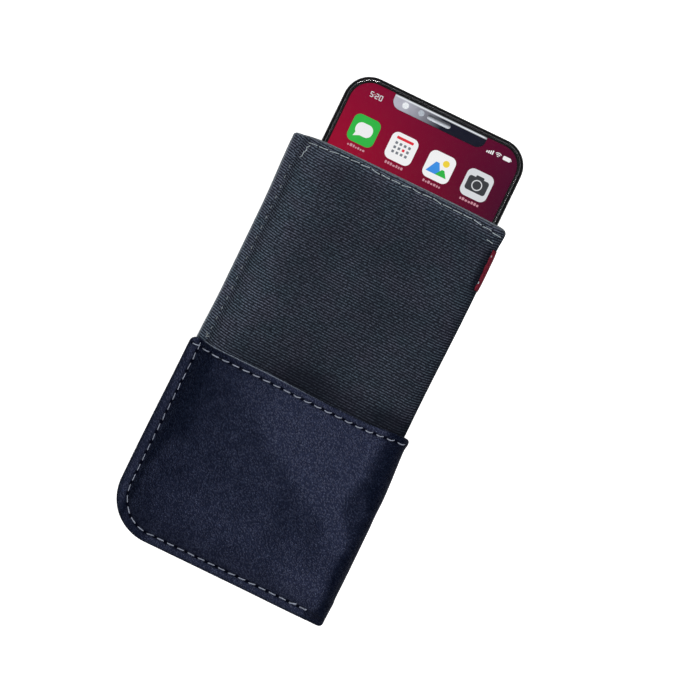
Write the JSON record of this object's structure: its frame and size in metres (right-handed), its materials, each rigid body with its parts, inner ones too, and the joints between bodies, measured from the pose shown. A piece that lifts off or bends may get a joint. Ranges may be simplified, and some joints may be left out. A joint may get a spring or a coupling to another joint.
{
  "type": "phone wallet case",
  "caption": "Slim fabric phone sleeve with a leather card wallet sewn round its lower half, front and back, shown with a phone part-way in.",
  "frame": {"origin": "on the flat leather back, half-way up the leather, on the phone's centre line", "axes": "+Z out of the front face, +Y towards the mouth that takes the phone, +X to the right seen from the front"},
  "size_m": [0.0884, 0.1888, 0.0146],
  "materials": {
    "leather": "fine grain, satin",
    "canvas": "coarse weave, matte",
    "lining": "soft brushed, matte",
    "label": "close woven, matte",
    "thread_grey": "twisted, slight sheen",
    "thread_light": "twisted, slight sheen",
    "thread_dark": "twisted, matte",
    "phone_metal": "satin",
    "clear_glass": "polished",
    "black_glass": "polished",
    "lens_glass": "polished",
    "screen": "lit",
    "black_plastic": "matte",
    "circuit_board": "matte",
    "steel": "brushed",
    "flash": "polished"
  },
  "bodies": {
    "case": {"leather_wrap": "leather", "canvas_front": "canvas", "canvas_back": "canvas", "pocket_lining": "lining", "side_label": "label", "seam_thread_front": "thread_grey", "seam_thread_back": "thread_grey", "canvas_side_thread_front": "thread_dark", "canvas_side_thread_back": "thread_dark", "mouth_hem_thread_front": "thread_light", "mouth_hem_thread_back": "thread_light", "pocket_hem_thread_front": "thread_grey", "pocket_hem_thread_back": "thread_grey", "right_seam_thread": "thread_dark", "bar_tack_upper": "thread_light", "bar_tack_lower": "thread_grey"},
    "phone": {"phone_frame": "phone_metal", "phone_cover_glass": "clear_glass", "phone_back_glass": "black_glass", "phone_bezel_mask": "black_plastic", "phone_display": "screen", "phone_earpiece_mesh": "steel", "phone_front_camera": "lens_glass", "phone_light_sensor": "lens_glass", "phone_camera_plate": "phone_metal", "phone_lens_wide": "lens_glass", "phone_lens_tele": "lens_glass", "phone_flash": "flash", "phone_battery": "black_plastic", "phone_logic_board": "circuit_board", "phone_port_shell": "steel", "phone_bottom_screws": "steel"},
    "power_button": {"power_button": "phone_metal"},
    "volume_up_button": {"volume_up_button": "phone_metal"},
    "volume_down_button": {"volume_down_button": "phone_metal"}
  },
  "joints": [
    {"name": "phone_slide", "type": "slide", "parent": "case", "child": "phone", "axis": [0, 1, 0], "range_m": [-0.0353, 0.118]},
    {"name": "power_press", "type": "slide", "parent": "phone", "child": "power_button", "axis": [-1, 0, 0], "range_m": [0, 0.00025]},
    {"name": "volume_up_press", "type": "slide", "parent": "phone", "child": "volume_up_button", "axis": [1, 0, 0], "range_m": [0, 0.00025]},
    {"name": "volume_down_press", "type": "slide", "parent": "phone", "child": "volume_down_button", "axis": [1, 0, 0], "range_m": [0, 0.00025]}
  ]
}
